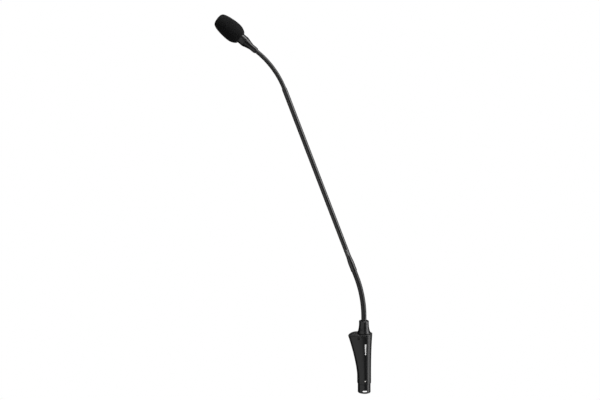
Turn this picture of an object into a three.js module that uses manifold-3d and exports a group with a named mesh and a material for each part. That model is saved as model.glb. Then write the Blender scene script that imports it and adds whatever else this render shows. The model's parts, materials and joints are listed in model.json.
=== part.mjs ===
// Gooseneck podium microphone: a condenser head with a foam windscreen on a stem with two flexible
// sections, and a preamplifier housing with a mute button and a three-pin audio plug.
// Millimetres, +Z up. The origin is the centre of the plug shell's open end, the plug's axis is Z,
// and at rest the neck bends in the XZ plane, towards -X.
import * as THREE from "three";
import { mergeVertices } from "three/addons/utils/BufferGeometryUtils.js";
import Module from "manifold-3d";

const wasm = await Module();
wasm.setup();

// ---- driving dimensions ----
const GAP = 0.3; // between pieces that touch
const ROUND = 28; // facets around a turned piece

const plug = { radius: 9.5, bore: 8.1, neck: 8.75, step: 13.8, top: 24.3, face: 14.2, faceTop: 19.8 };
const latch = { width: 6.7, height: 2.4, z: 3.45 };
const pin = { radius: 1.2, circle: 4.4, tip: 2, top: 25.8 };
const setScrew = { radius: 1.5, z: 18.7, outer: 10.15, inner: 8.05 };

const housing = { bottom: 14.1, radius: 10.3, wall: 1.3, flare: 2.1, wingStart: 25.6 };
const ledge = 27.5; // inside the housing, where the preamplifier chamber starts
const wing = { z: 85.1, reach: 12.85, power: 1.45 };
const roof = { z: 89, droop: 3, droopFrom: -11.9, droopLength: 11, cover: 1.7 };
const lug = { bottom: 80.3, width: 5, thickness: 2 };
const button = { x: -16.2, length: 3.2, radius: 2.9, crown: 0.5, flangeTop: 84.7 };
const coverScrew = { x: -8.5, z: 83.3, head: 0.95, shank: 0.55 };
const lens = { x: -10.5, radius: 0.6 };
const board = { thickness: 1.6, bottom: 27.6, top: 73.5 };
const switchDeck = { bottom: 75.9, thickness: 1.2 };

const collar = { bottom: 89.3, top: 107.9, rim: 7.2, waist: 104.9, base: 9.65 };
const spigot = { radius: 5.4, bottom: 78.2 }; // of the collar, down through the cover
const lowerFlex = {
  radius: 3.85,
  bore: 1.7,
  bottom: 87.7,
  start: 113.7,
  bend: 20.4,
  arcRadius: 172,
  tail: 17,
};
const upperFlex = { radius: 3.1, bore: 1.5, bottom: 312.4, bend: 29.5, arcRadius: 125, tail: 12 };
const stem = { length: 354.4, tubeRadius: 3.7, tubeBore: 3.3, tubeStart: 63.2, tubeEnd: 323 };
const ferrule = { start: 40.3, radius: 4.45, straight: 13, spigot: 3 };
const jointsPerPlane = 4; // each flexible section bends at 4 joints and sways at 4 more
const bevel = THREE.MathUtils.degToRad(10); // of a link's ends, half the most that a joint turns
const cable = { radius: 1.1, bottom: 75.7, top: 40.8 };

const head = { fromVertex: 36, neck: 4.4, neckEnd: 9, knee: 20.3, radius: 7.25 };
const capsule = { collarEnd: 34, canRadius: 6.75, canEnd: 51, wall: 0.6 };
const grille = { radius: 7.05, bore: 4.9, end: 53.3 };
const foam = { start: 28.9, widest: 45.3, end: 70.2, hem: 8, radius: 13.85, bore: 7.6, boreEnd: 54.8 };

// ---- materials ----
function finish(color, roughness, metalness) {
  return () => new THREE.MeshStandardMaterial({ color, roughness, metalness });
}
const blackMetal = finish(0x1d1d1e, 0.38, 0.6);
const blackPlastic = finish(0x1a1a1b, 0.5, 0);
const satinBlack = finish(0x202021, 0.5, 0.3);
const foamBlack = finish(0x121212, 0.97, 0);
const nickel = finish(0xc9c8c4, 0.25, 1);
const gold = finish(0xd9b45a, 0.28, 1);
const brass = finish(0xb89b5a, 0.35, 1);
const boardGreen = finish(0x1f5a36, 0.55, 0);
const lightPlastic = finish(0xcfd0cc, 0.5, 0);
const redLens = finish(0x8c1512, 0.2, 0);

// ---- solids ----
function toSolid(geometry) {
  const plain = geometry.clone();
  plain.deleteAttribute("normal");
  plain.deleteAttribute("uv");
  const merged = mergeVertices(plain, 1e-4);
  return new wasm.Manifold(
    new wasm.Mesh({
      numProp: 3,
      vertProperties: merged.attributes.position.array,
      triVerts: new Uint32Array(merged.index.array),
    }),
  );
}

function toGeometry(solid) {
  const mesh = solid.getMesh();
  const geometry = new THREE.BufferGeometry();
  geometry.setAttribute("position", new THREE.BufferAttribute(mesh.vertProperties, 3));
  geometry.setIndex(new THREE.BufferAttribute(mesh.triVerts, 1));
  return geometry;
}

function cut(geometry, ...tools) {
  const solid = tools.reduce((left, tool) => left.subtract(toSolid(tool)), toSolid(geometry));
  return toGeometry(solid);
}

function join(...geometries) {
  return toGeometry(geometries.map(toSolid).reduce((all, next) => all.add(next)));
}

function common(first, second) {
  return toGeometry(toSolid(first).intersect(toSolid(second)));
}

// A turned piece about Z, from [radius, z] points that go up the outside and down the inside.
function turned(points, segments = ROUND) {
  const outline = points.map(([r, z]) => new THREE.Vector2(r, z));
  const first = outline[0];
  const last = outline[outline.length - 1];
  if (first.x > 0 || last.x > 0) outline.push(first.clone());
  return new THREE.LatheGeometry(outline, segments).rotateX(Math.PI / 2);
}

function ring(outer, inner, bottom, top, segments = ROUND) {
  return turned([[inner, bottom], [outer, bottom], [outer, top], [inner, top]], segments);
}

function disc(radius, bottom, top, segments = ROUND) {
  return turned([[0, bottom], [radius, bottom], [radius, top], [0, top]], segments);
}

function box(width, depth, height, x, y, z) {
  return new THREE.BoxGeometry(width, depth, height).translate(x, y, z);
}

// Points of an arc in a [radius, z] outline, angles in degrees from +radius towards +z.
function arc(r, z, radius, from, to, steps) {
  return Array.from({ length: steps + 1 }, (_, i) => {
    const angle = THREE.MathUtils.degToRad(from + ((to - from) * i) / steps);
    return [r + radius * Math.cos(angle), z + radius * Math.sin(angle)];
  });
}

// A vertical prism over a slot with round ends, from one end's centre to the other's.
function slotPrism(x0, x1, radius, bottom, top, segments = 12) {
  const shape = new THREE.Shape();
  shape.absarc(x1, 0, radius, -Math.PI / 2, Math.PI / 2, false);
  shape.absarc(x0, 0, radius, Math.PI / 2, (3 * Math.PI) / 2, false);
  const options = { depth: top - bottom, bevelEnabled: false, curveSegments: segments };
  return new THREE.ExtrudeGeometry(shape, options).translate(0, 0, bottom);
}

// A plate over an outline of [x, z] points in the XZ plane, centred on y.
function sidePlate(points, y, thickness) {
  const shape = new THREE.Shape(points.map(([x, z]) => new THREE.Vector2(x, z)));
  const plate = new THREE.ExtrudeGeometry(shape, { depth: thickness, bevelEnabled: false });
  return plate.rotateX(Math.PI / 2).translate(0, y + thickness / 2, 0);
}

function node(name, geometry, material) {
  const mesh = new THREE.Mesh(geometry, material());
  mesh.name = name;
  return mesh;
}

function groupOf(...meshes) {
  const group = new THREE.Group();
  group.add(...meshes);
  return group;
}

// ---- neck route: pivots of the flexible sections in the XZ plane ----
// A flexible section is a run of short links. Its bends lie where the tangents of its arc meet, and its
// sways lie halfway between them, on the arc, so the pivots are evenly spaced.
function flexPivots(start, heading, flex) {
  const turn = THREE.MathUtils.degToRad(flex.bend / jointsPerPlane);
  const step = flex.arcRadius * Math.tan(turn / 2);
  const point = start.clone();
  const pivots = [];
  let angle = heading;
  for (let i = 0; i < 2 * jointsPerPlane; i += 1) {
    point.x -= step * Math.sin(angle);
    point.z += step * Math.cos(angle);
    if (i % 2 === 0) angle += turn;
    pivots.push({ at: point.clone(), angle });
  }
  return { pivots, step };
}

function along(point, angle, distance) {
  const direction = new THREE.Vector3(-Math.sin(angle), 0, Math.cos(angle));
  return point.clone().addScaledVector(direction, distance);
}

const lowerTilt = THREE.MathUtils.degToRad(lowerFlex.bend);
const headTilt = lowerTilt + THREE.MathUtils.degToRad(upperFlex.bend);
const lowerStart = new THREE.Vector3(0, 0, lowerFlex.start);
const lowerVertexZ = lowerFlex.start + lowerFlex.arcRadius * Math.tan(lowerTilt / 2);
const lowerVertex = new THREE.Vector3(0, 0, lowerVertexZ);
const upperVertex = along(lowerVertex, lowerTilt, stem.length);
const upperTangent = upperFlex.arcRadius * Math.tan((headTilt - lowerTilt) / 2);
const upperStart = along(upperVertex, lowerTilt, -upperTangent);
const headOrigin = along(upperVertex, headTilt, head.fromVertex);
const lower = flexPivots(lowerStart, 0, lowerFlex);
const upper = flexPivots(upperStart, lowerTilt, upperFlex);

// ---- flexible sections ----
// A link between two pivots: its ends are bevelled so that neighbours clear each other when they turn.
function linkGeometry(flex, length, bevelBottom = true, bevelTop = true) {
  const segments = 24;
  const slope = Math.tan(bevel);
  const low = (r) => (bevelBottom ? GAP / 2 + r * slope : 0);
  const high = (r) => (bevelTop ? length - GAP / 2 - r * slope : length);
  const { bore, radius } = flex;
  const outline = [[bore, low(bore)], [radius, low(radius)], [radius, high(radius)], [bore, high(bore)]];
  return turned(outline, segments);
}

function place(mesh, origin, angle) {
  mesh.position.copy(origin);
  mesh.rotation.y = -angle;
  return mesh;
}

function flexLinks(name, flex, { pivots, step }) {
  return pivots.slice(0, -1).map(({ at, angle }, i) =>
    place(node(`${name}_link_${i + 1}`, linkGeometry(flex, step), satinBlack), at, angle),
  );
}

// The fixed length of a flexible section before its first joint.
function flexBelow(name, flex, from, angle, pivot) {
  const geometry = linkGeometry(flex, from.distanceTo(pivot), false, true);
  return place(node(name, geometry, satinBlack), from, angle);
}

// The fixed length of a flexible section after its last joint.
function flexAbove(name, flex, { at, angle }) {
  return place(node(name, linkGeometry(flex, flex.tail, true, false), satinBlack), at, angle);
}

// ---- plug ----
function plugShell() {
  const outline = [
    [plug.bore + 0.25, 0],
    ...arc(plug.radius - 0.5, 0.5, 0.5, -90, 0, 4),
    [plug.radius, plug.step],
    [plug.neck, plug.step],
    [plug.neck, plug.top],
    [plug.bore - 0.7, plug.top],
    [plug.bore - 0.7, plug.faceTop + GAP],
    [plug.bore, plug.faceTop + GAP],
    [plug.bore, 0.25],
  ];
  const end = latch.height / 2;
  const window = slotPrism(-latch.width / 2 + end, latch.width / 2 - end, end, 0, 5, 6)
    .rotateX(Math.PI / 2)
    .translate(0, -6, latch.z);
  const keyway = box(2.2, 1.6, plug.face + 1, 0, plug.bore - 0.2, plug.face / 2 - 1);
  const screwHole = disc(setScrew.radius + 0.2, 0, 4, 16)
    .rotateX(Math.PI / 2)
    .translate(0, -7, setScrew.z);
  return cut(turned(outline), window, keyway, screwHole);
}

function pinCentres() {
  return [-150, -30, 90].map((degrees) => {
    const angle = THREE.MathUtils.degToRad(degrees);
    return new THREE.Vector3(pin.circle * Math.cos(angle), pin.circle * Math.sin(angle), 0);
  });
}

function plugInsulator() {
  const body = disc(plug.bore - GAP, plug.face, plug.faceTop);
  const bores = pinCentres().map(({ x, y }) =>
    disc(pin.radius + 0.15, plug.face - 1, plug.faceTop + 1, 16).translate(x, y, 0),
  );
  return cut(body, ...bores);
}

function plugPin() {
  const { radius, tip, top } = pin;
  const cup = 0.75;
  const cupDepth = 3;
  return turned([
    [0, tip],
    ...arc(0, tip + radius, radius, -70, 0, 4),
    [radius, top],
    [cup, top],
    [cup, top - cupDepth],
    [0, top - cupDepth],
  ], 16);
}

function plugSetScrew() {
  const { radius, outer, inner, z } = setScrew;
  const body = disc(radius, 0, outer - inner, 16);
  const socket = new THREE.CylinderGeometry(0.75, 0.75, 1.4, 6).rotateX(Math.PI / 2);
  socket.translate(0, 0, outer - inner);
  return cut(body, socket).rotateX(Math.PI / 2).translate(0, -inner, z);
}

// ---- preamplifier housing ----
const aboveRoof = roof.z + 3;
const switchTop = switchDeck.bottom + switchDeck.thickness + 2.7;

// A slice of the housing is egg-shaped: half a circle about the plug's axis towards +X, and half an
// ellipse that reaches out to the wing's nose towards -X.
function sliceAt(z) {
  const height = (z - housing.bottom) / (roof.z - housing.bottom);
  const radius = housing.radius + housing.flare * Math.max(height, 0) ** 2.8;
  const rise = Math.max(z - housing.wingStart, 0) / (wing.z - housing.wingStart);
  return { radius, reach: housing.radius + wing.reach * rise ** wing.power };
}

// A point of a slice's outline, drawn in by an inset, at an angle from +X round to -X.
function outlinePoint(z, inset, angle) {
  const { radius, reach } = sliceAt(z);
  const long = Math.cos(angle) < 0 ? Math.max(reach, radius) : radius;
  const point = new THREE.Vector2(long * Math.cos(angle), radius * Math.sin(angle));
  const normal = new THREE.Vector2(Math.cos(angle) / long, Math.sin(angle) / radius).normalize();
  return point.addScaledVector(normal, -inset);
}

// The housing's outer form, drawn in by an inset, between two heights.
function housingForm(inset, bottom, top, steps) {
  const sides = 40;
  const circle = new THREE.Shape().absarc(0, 0, 1, 0, 2 * Math.PI, false);
  const options = { depth: 1, steps, bevelEnabled: false, curveSegments: sides / 2 };
  const geometry = new THREE.ExtrudeGeometry(circle, options);
  const position = geometry.attributes.position;
  for (let i = 0; i < position.count; i += 1) {
    const z = bottom + (top - bottom) * position.getZ(i);
    const point = outlinePoint(z, inset, Math.atan2(position.getY(i), position.getX(i)));
    position.setXYZ(i, point.x, point.y, z);
  }
  return geometry;
}

function roofAt(x) {
  const past = Math.max(roof.droopFrom - x, 0) / roof.droopLength;
  return roof.z - roof.droop * past ** 2;
}

// Everything under the roof, moved down by some depth, as a thick plate across the housing.
function underRoof(depth, bottom) {
  const reach = 24;
  const curve = Array.from({ length: 9 }, (_, i) => {
    const x = -reach + ((roof.droopFrom + reach) * i) / 8;
    return [x, roofAt(x) - depth];
  });
  const outline = [[-reach, bottom], ...curve, [reach, roof.z - depth], [reach, bottom]];
  return sidePlate(outline, 0, 2 * reach);
}

// A turned tool on a cover screw's line, which is square to the flank, between two heights over it.
function alongScrew(side, radius, from, to, segments = 12) {
  const { radius: half, reach } = sliceAt(coverScrew.z);
  const angle = side * Math.acos(coverScrew.x / reach);
  const y = half * Math.sin(angle);
  const normal = new THREE.Vector3(Math.cos(angle) / reach, Math.sin(angle) / half, 0).normalize();
  const turn = new THREE.Quaternion().setFromUnitVectors(new THREE.Vector3(0, 0, 1), normal);
  return disc(radius, from, to, segments).applyQuaternion(turn).translate(coverScrew.x, y, coverScrew.z);
}

function preampHousing() {
  const { bottom, wall } = housing;
  const outer = common(housingForm(0, bottom, aboveRoof, 10), underRoof(roof.cover, bottom));
  const cavity = housingForm(wall, ledge, aboveRoof + 1, 6);
  const socket = disc(plug.neck + GAP, bottom - 1, plug.top + GAP);
  const throat = disc(plug.bore - 0.9, plug.top, ledge + 1);
  const screwHole = disc(setScrew.radius + 0.2, 8, 12, 16).rotateX(Math.PI / 2).translate(0, 0, setScrew.z);
  const holes = [-1, 1].map((side) => alongScrew(side, coverScrew.head + GAP / 2, -3, 2));
  return cut(outer, cavity, socket, throat, screwHole, ...holes);
}

// A lug under the cover that a cover screw holds, just inside the housing's wall.
function coverLug(side) {
  const inset = housing.wall + GAP;
  const top = roof.z;
  const flank = 8;
  const middle = (lug.bottom + top) / 2;
  const column = box(lug.width, 2 * lug.thickness, top - lug.bottom, coverScrew.x, side * flank, middle);
  const fitted = common(housingForm(inset, lug.bottom, top, 2), column);
  return common(fitted, underRoof(0.6, lug.bottom));
}

function topCover() {
  const plateBottom = roof.z - roof.droop - roof.cover - 1;
  const plate = common(housingForm(0, plateBottom, aboveRoof, 3), underRoof(0, plateBottom));
  const lid = cut(plate, underRoof(roof.cover - GAP / 2, plateBottom - 1));
  const collarHole = disc(spigot.radius + GAP, lug.bottom, aboveRoof);
  const { x, length, radius } = button;
  const buttonHole = slotPrism(x - length / 2, x + length / 2, radius + GAP, lug.bottom, aboveRoof);
  const lensHole = disc(lens.radius + GAP / 2, lug.bottom, aboveRoof, 12).translate(lens.x, 0, 0);
  const screwHoles = [-1, 1].map((side) => alongScrew(side, coverScrew.shank + GAP / 2, -5, 0));
  return cut(join(lid, coverLug(-1), coverLug(1)), collarHole, buttonHole, lensHole, ...screwHoles);
}

function coverScrewBody(side) {
  const depth = 0.5;
  const wall = housing.wall;
  const headPart = alongScrew(side, coverScrew.head, -wall + 0.15, -depth);
  const shank = alongScrew(side, coverScrew.shank, -wall - lug.thickness, -wall + 0.5);
  return join(headPart, shank);
}

function muteButton() {
  const { x, length, radius, crown, flangeTop } = button;
  const flangeBottom = flangeTop - 1;
  const flange = slotPrism(x - length / 2, x + length / 2, radius + GAP, flangeBottom, flangeTop);
  const key = slotPrism(x - length / 2, x + length / 2, radius, flangeBottom, aboveRoof);
  const stemBottom = switchTop + 1.6;
  const stemPart = disc(1.6, stemBottom, flangeBottom + 0.2, 16).translate(x, 0, 0);
  return join(common(key, underRoof(-crown, stemBottom)), flange, stemPart);
}

// ---- circuit boards and their parts ----
function preampBoard() {
  const { bottom, top, thickness } = board;
  const corner = bottom + 16;
  return sidePlate([[-6.6, bottom], [7, bottom], [7.6, top], [-15.4, top], [-8, corner]], 0, thickness);
}

function switchBoard() {
  const { bottom, thickness } = switchDeck;
  const deck = slotPrism(button.x + 1.2, lens.x - 0.7, 3.2, bottom, bottom + thickness);
  const tongueBottom = board.top + GAP;
  const height = bottom + 0.5 - tongueBottom;
  return join(deck, box(5, thickness, height, button.x + 2, 0, tongueBottom + height / 2));
}

function muteSwitch() {
  const seat = switchDeck.bottom + switchDeck.thickness + 0.1;
  const body = box(4, 4, switchTop - seat, button.x, 0, (seat + switchTop) / 2);
  const plunger = disc(1.2, seat + 1, switchTop + 0.6, 16).translate(button.x, 0, 0);
  return join(body, plunger);
}

function statusLed() {
  const height = 1.1;
  return box(1.6, 1.6, height, lens.x, 0, switchDeck.bottom + switchDeck.thickness + 0.1 + height / 2);
}

function ledLens() {
  return disc(lens.radius, switchDeck.bottom + switchDeck.thickness + 1.5, roof.z + 0.1, 12)
    .translate(lens.x, 0, 0);
}

function capacitor(x, z, radius, height) {
  const edge = 0.4;
  const top = height - edge;
  const can = turned([[0, 0], [radius, 0], [radius, top], [radius - edge, height], [0, height]], 20);
  return can.rotateX(-Math.PI / 2).translate(x, board.thickness / 2 + 0.1, z);
}

function amplifierChip() {
  const thickness = 1.6;
  return box(4, thickness, 5, -1.5, -(board.thickness + thickness) / 2 - 0.1, board.bottom + 21);
}

// ---- gooseneck hardware ----
function gooseneckCollar() {
  const { bottom, top, rim, waist, base } = collar;
  const bore = lowerFlex.radius + 0.25;
  const edge = 1.1;
  const skirt = bottom + 1;
  const steps = 6;
  const flare = Array.from({ length: steps + 1 }, (_, i) => {
    const share = 1 - i / steps;
    return [rim + (base - rim) * share ** 2.4, waist - (waist - skirt) * share];
  });
  return turned([
    [bore, spigot.bottom],
    [spigot.radius, spigot.bottom],
    [spigot.radius, bottom],
    [base, bottom],
    ...flare,
    ...arc(rim - edge, top - edge, edge, 0, 90, 4),
    [bore, top],
  ]);
}

function gooseneckNut() {
  const corner = 7.6;
  const thickness = 3;
  const outer = new THREE.CylinderGeometry(corner, corner, thickness, 6).rotateX(Math.PI / 2);
  outer.translate(0, 0, spigot.bottom + 2.2);
  return cut(outer, disc(spigot.radius + GAP / 2, spigot.bottom - thickness, spigot.bottom + 2 * thickness));
}

function stemFerrule() {
  const { start, radius, straight, spigot } = ferrule;
  const bore = lowerFlex.radius + 0.15;
  const seat = start + 8;
  const end = stem.tubeStart;
  const wireHole = cable.radius + 0.5;
  return turned([
    [bore, start],
    [radius - 0.2, start],
    [radius, start + 0.2],
    [radius, start + straight],
    [stem.tubeRadius + 0.1, end - 1.5],
    [stem.tubeRadius, end - GAP],
    [spigot, end - GAP],
    [spigot, end + 9],
    [wireHole, end + 9],
    [wireHole, seat],
    [bore, seat],
  ]);
}

function stemTube() {
  const { tubeRadius, tubeBore, tubeStart, tubeEnd } = stem;
  const edge = 0.25;
  return turned([
    [tubeBore, tubeStart],
    [tubeRadius, tubeStart],
    [tubeRadius, tubeEnd - edge],
    [tubeRadius - edge, tubeEnd],
    [tubeBore, tubeEnd],
  ]);
}

// The audio cable inside the neck, along the neck's centre line from the preamplifier to the head.
function micCable() {
  const bends = [...lower.pivots, ...upper.pivots].filter((_, i) => i % 2 === 0).map(({ at }) => at);
  const corners = [new THREE.Vector3(0, 0, cable.bottom), ...bends, along(headOrigin, headTilt, cable.top)];
  const path = new THREE.CurvePath();
  for (let i = 0; i + 1 < corners.length; i += 1) {
    path.add(new THREE.LineCurve3(corners[i], corners[i + 1]));
  }
  const steps = 60;
  const route = new THREE.CatmullRomCurve3(path.getSpacedPoints(steps), false, "centripetal");
  const section = new THREE.Shape().absarc(0, 0, cable.radius, 0, 2 * Math.PI, false);
  const options = { steps, bevelEnabled: false, curveSegments: 4, extrudePath: route };
  return new THREE.ExtrudeGeometry(section, options);
}

// ---- head, in its own frame: Z from the small end of its cone towards the tip ----
function headCone() {
  const { neck, neckEnd, knee, radius } = head;
  const bore = upperFlex.radius + 0.2;
  const shoulder = 3.2;
  const rounding = arc(0, 1, 1, -80, 0, 4).map(([r, z]) => [bore + (neck - bore) * r, shoulder * z]);
  const flare = [0.25, 0.5, 0.75].map((share) => {
    const r = neck + (radius - neck) * share ** 1.2;
    return [r, neckEnd + (knee - neckEnd) * share];
  });
  return turned([
    [bore, 0],
    ...rounding,
    [neck, neckEnd],
    ...flare,
    [radius, knee],
    [radius - 1.4, knee],
    [bore + 0.4, neckEnd + 0.5],
    [bore, neckEnd + 0.5],
  ]);
}

function capsuleCollar() {
  const { knee, radius } = head;
  return turned([
    [radius - 1.2, knee + GAP],
    [radius, knee + GAP],
    [radius, capsule.collarEnd - 0.4],
    [radius - 0.4, capsule.collarEnd],
    [radius - 1.2, capsule.collarEnd],
  ]);
}

function cartridgeCan() {
  const { collarEnd, canRadius, canEnd, wall } = capsule;
  const tail = head.radius - 1.2 - GAP;
  const tailStart = collarEnd - 8;
  const step = collarEnd + GAP;
  const can = turned([
    [tail - wall, tailStart],
    [tail, tailStart],
    [tail, step],
    [canRadius, step],
    [canRadius, canEnd],
    [canRadius - wall, canEnd],
    [canRadius - wall, step + wall],
    [tail - wall, step + wall],
  ]);
  const slots = Array.from({ length: 6 }, (_, i) =>
    box(1.4, 4, 6.5, 0, canRadius, (collarEnd + canEnd) / 2 - 2).rotateZ((i * Math.PI) / 3),
  );
  return cut(can, ...slots);
}

function grilleRing() {
  const start = capsule.canEnd + GAP;
  const { radius, bore, end } = grille;
  const edge = 0.6;
  return turned([
    [bore, start],
    [radius, start],
    [radius, end - edge],
    [radius - edge, end],
    [bore, end],
  ]);
}

function perforatedDisc(radius, bottom, top, hole, rings) {
  const holes = rings.flatMap(({ count, circle }) =>
    Array.from({ length: count }, (_, i) => {
      const angle = (2 * Math.PI * i) / count;
      const at = [circle * Math.cos(angle), circle * Math.sin(angle), 0];
      return disc(hole, bottom - 1, top + 1, 8).translate(...at);
    }),
  );
  return cut(disc(radius, bottom, top, 24), ...holes);
}

function grilleMesh() {
  const top = grille.end - 0.7;
  const rings = [{ count: 1, circle: 0 }, { count: 6, circle: 1.8 }, { count: 12, circle: 3.4 }];
  return perforatedDisc(grille.bore - GAP, top - 0.5, top, 0.55, rings);
}

// The cartridge's stack inside the can, each piece placed by its depth below the can's end.
function stacked(radius, depth, thickness) {
  return disc(radius, capsule.canEnd - depth - thickness, capsule.canEnd - depth, 24);
}

function stackedRing(outer, inner, depth, thickness) {
  return ring(outer, inner, capsule.canEnd - depth - thickness, capsule.canEnd - depth, 24);
}

function backplate() {
  const top = capsule.canEnd - 2.2;
  return perforatedDisc(4.9, top - 1, top, 0.6, [{ count: 6, circle: 3 }]);
}

function cartridgeTransistor() {
  return box(3, 2.4, 1.6, 0, 0, capsule.canEnd - 9.3);
}

// The foam swells from its hem to its widest place, then draws in towards a blunt, rounded tip.
function foamWindscreen() {
  const { start, widest, end, hem, radius, bore, boreEnd } = foam;
  const rear = [0.15, 0.3, 0.5, 0.75].map((share) => {
    const swell = (1 - (1 - share) ** 2.5) ** 0.77;
    return [hem + (radius - hem) * swell, start + (widest - start) * share];
  });
  const front = [0, 0.25, 0.5, 0.7, 0.85, 0.94, 0.985].map((share) => {
    const taper = (1 - share ** 1.4) ** 0.18;
    return [radius * taper, widest + (end - widest) * share];
  });
  return turned([[bore, start], [hem, start], ...rear, ...front, [0, end], [0, boreEnd], [bore, boreEnd]]);
}

// ---- assembly ----
const [pin1, pin2, pin3] = pinCentres().map((centre, i) => {
  const mesh = node(`xlr_pin_${i + 1}`, plugPin(), gold);
  mesh.position.copy(centre);
  return mesh;
});

const base = groupOf(
  node("xlr_shell", plugShell(), blackMetal),
  node("xlr_insulator", plugInsulator(), blackPlastic),
  pin1,
  pin2,
  pin3,
  node("xlr_set_screw", plugSetScrew(), nickel),
  node("preamp_housing", preampHousing(), blackMetal),
  node("top_cover", topCover(), blackMetal),
  node("cover_screw_front", coverScrewBody(-1), blackMetal),
  node("cover_screw_back", coverScrewBody(1), blackMetal),
  node("mute_button", muteButton(), blackPlastic),
  node("mute_switch", muteSwitch(), blackPlastic),
  node("switch_board", switchBoard(), boardGreen),
  node("status_led", statusLed(), lightPlastic),
  node("led_lens", ledLens(), redLens),
  node("preamp_board", preampBoard(), boardGreen),
  node("capacitor_1", capacitor(1.5, board.bottom + 8, 2.5, 5.4), blackPlastic),
  node("capacitor_2", capacitor(-2.5, board.bottom + 30, 3.1, 6.2), blackPlastic),
  node("amplifier_chip", amplifierChip(), blackPlastic),
  node("gooseneck_collar", gooseneckCollar(), blackMetal),
  node("gooseneck_nut", gooseneckNut(), brass),
);

const neckBottom = new THREE.Vector3(0, 0, lowerFlex.bottom);
const upperFlexBottom = along(lowerVertex, lowerTilt, upperFlex.bottom);
const neck = groupOf(
  flexBelow("lower_flex_base", lowerFlex, neckBottom, 0, lower.pivots[0].at),
  ...flexLinks("lower_flex", lowerFlex, lower),
  flexAbove("lower_flex_top", lowerFlex, lower.pivots.at(-1)),
  flexBelow("upper_flex_base", upperFlex, upperFlexBottom, lowerTilt, upper.pivots[0].at),
  ...flexLinks("upper_flex", upperFlex, upper),
  flexAbove("upper_flex_top", upperFlex, upper.pivots.at(-1)),
  node("mic_cable", micCable(), blackPlastic),
);

const stemGroup = groupOf(
  node("stem_ferrule", stemFerrule(), blackMetal),
  node("stem_tube", stemTube(), blackMetal),
);
place(stemGroup, lowerVertex, lowerTilt);

const headGroup = groupOf(
  node("head_cone", headCone(), blackMetal),
  node("capsule_collar", capsuleCollar(), blackMetal),
  node("cartridge_can", cartridgeCan(), blackMetal),
  node("grille_ring", grilleRing(), brass),
  node("grille_mesh", grilleMesh(), nickel),
  node("diaphragm_ring", stackedRing(5.75, 4.8, 0.2, 0.8), brass),
  node("diaphragm", stacked(5.65, 1.2, 0.4), gold),
  node("backplate", backplate(), brass),
  node("backplate_holder", stackedRing(5.75, 5.1, 1.9, 4.7), lightPlastic),
  node("cartridge_board", stacked(5.65, 7.2, 1), boardGreen),
  node("cartridge_transistor", cartridgeTransistor(), blackPlastic),
  node("foam_windscreen", foamWindscreen(), foamBlack),
);
place(headGroup, headOrigin, headTilt);

const microphone = new THREE.Group();
microphone.add(base, neck, stemGroup, headGroup);

export default microphone;
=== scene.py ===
"""The looks of a gooseneck podium microphone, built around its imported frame. Metres, +Z up."""
import json
import math

import bmesh
import bpy
from mathutils import Matrix, Vector, noise


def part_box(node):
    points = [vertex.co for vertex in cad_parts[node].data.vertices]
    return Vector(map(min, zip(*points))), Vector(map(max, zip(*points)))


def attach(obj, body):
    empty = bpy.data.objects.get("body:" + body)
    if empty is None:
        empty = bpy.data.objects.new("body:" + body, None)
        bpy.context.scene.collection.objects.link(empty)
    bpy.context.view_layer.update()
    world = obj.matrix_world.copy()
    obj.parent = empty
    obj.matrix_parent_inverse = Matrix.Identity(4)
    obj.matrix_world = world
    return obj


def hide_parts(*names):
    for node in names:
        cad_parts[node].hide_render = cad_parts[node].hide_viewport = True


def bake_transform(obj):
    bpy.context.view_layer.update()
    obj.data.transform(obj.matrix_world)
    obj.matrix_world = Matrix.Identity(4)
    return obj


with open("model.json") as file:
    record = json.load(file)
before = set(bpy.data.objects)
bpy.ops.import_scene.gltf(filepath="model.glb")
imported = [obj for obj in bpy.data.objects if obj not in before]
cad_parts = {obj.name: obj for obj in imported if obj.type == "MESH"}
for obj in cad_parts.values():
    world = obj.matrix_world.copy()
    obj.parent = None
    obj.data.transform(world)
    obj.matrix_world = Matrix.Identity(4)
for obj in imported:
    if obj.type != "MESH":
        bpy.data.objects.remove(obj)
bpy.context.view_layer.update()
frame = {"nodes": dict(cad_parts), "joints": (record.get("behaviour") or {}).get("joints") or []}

MM = 0.001
JOINTS = {joint["name"]: joint for joint in frame["joints"]}


# ---- places on the frame ----
def pivot(name):
    return Vector(JOINTS[name]["pos_m"])


def tilt_of(direction):
    """How far a direction in the XZ plane leans from +Z towards -X, in radians."""
    return math.atan2(-direction.x, direction.z)


def heading(tilt):
    return Vector((-math.sin(tilt), 0, math.cos(tilt)))


def placed(origin, tilt):
    """The matrix that puts a piece modelled along +Z at an origin, leaning by tilt."""
    return Matrix.Translation(origin) @ Matrix.Rotation(-tilt, 4, "Y")


def lowest(node, origin, axis):
    """A node's lowest place along an axis, from an origin."""
    return min((vertex.co - origin).dot(axis) for vertex in frame["nodes"][node].data.vertices)


STEM_AXIS = (pivot("upper_bend_1") - pivot("lower_sway_4")).normalized()
STEM_TILT = tilt_of(STEM_AXIS)
STEM_START = pivot("lower_sway_4") + STEM_AXIS * (pivot("lower_sway_4").x / -STEM_AXIS.x)
HEAD_AXIS = Vector(JOINTS["windscreen_pull"]["axis"]).normalized()
HEAD_TILT = tilt_of(HEAD_AXIS)
CONE_START = lowest("head_cone", pivot("upper_sway_4"), HEAD_AXIS)
HEAD_ORIGIN = pivot("upper_sway_4") + HEAD_AXIS * CONE_START
ON_STEM = placed(STEM_START, STEM_TILT)
ON_HEAD = placed(HEAD_ORIGIN, HEAD_TILT)


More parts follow.
